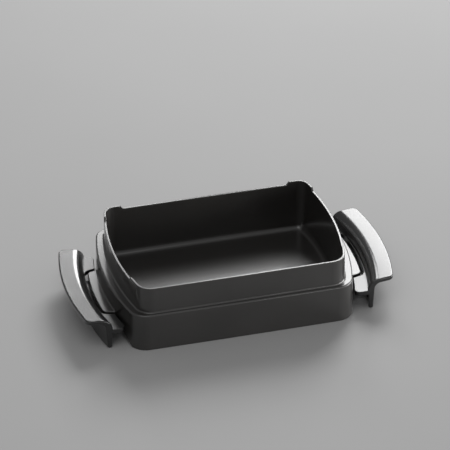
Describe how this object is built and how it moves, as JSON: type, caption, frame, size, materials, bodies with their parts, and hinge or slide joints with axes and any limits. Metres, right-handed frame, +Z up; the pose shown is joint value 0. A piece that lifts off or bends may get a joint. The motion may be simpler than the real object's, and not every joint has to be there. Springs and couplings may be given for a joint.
{
  "type": "baking dish",
  "caption": "Deep rectangular non-stick baking dish with a stepped wall, a notched rim and a finger-lip handle screwed to a tongue at each end.",
  "frame": {"origin": "on the table, under the middle of the dish", "axes": "+X to the right along the long side, +Y to the rear, +Z up"},
  "size_m": [0.402, 0.2002, 0.084],
  "materials": {
    "dish_coat": "cast aluminium under a satin black non-stick coat",
    "handle_resin": "semi-gloss black moulded phenolic resin",
    "screw_steel": "bright zinc-plated steel"
  },
  "bodies": {
    "root": {"baking_dish": "dish_coat", "left_handle": "handle_resin", "right_handle": "handle_resin", "left_handle_screws": "screw_steel", "right_handle_screws": "screw_steel", "left_handle_washers": "screw_steel", "right_handle_washers": "screw_steel"}
  },
  "joints": []
}
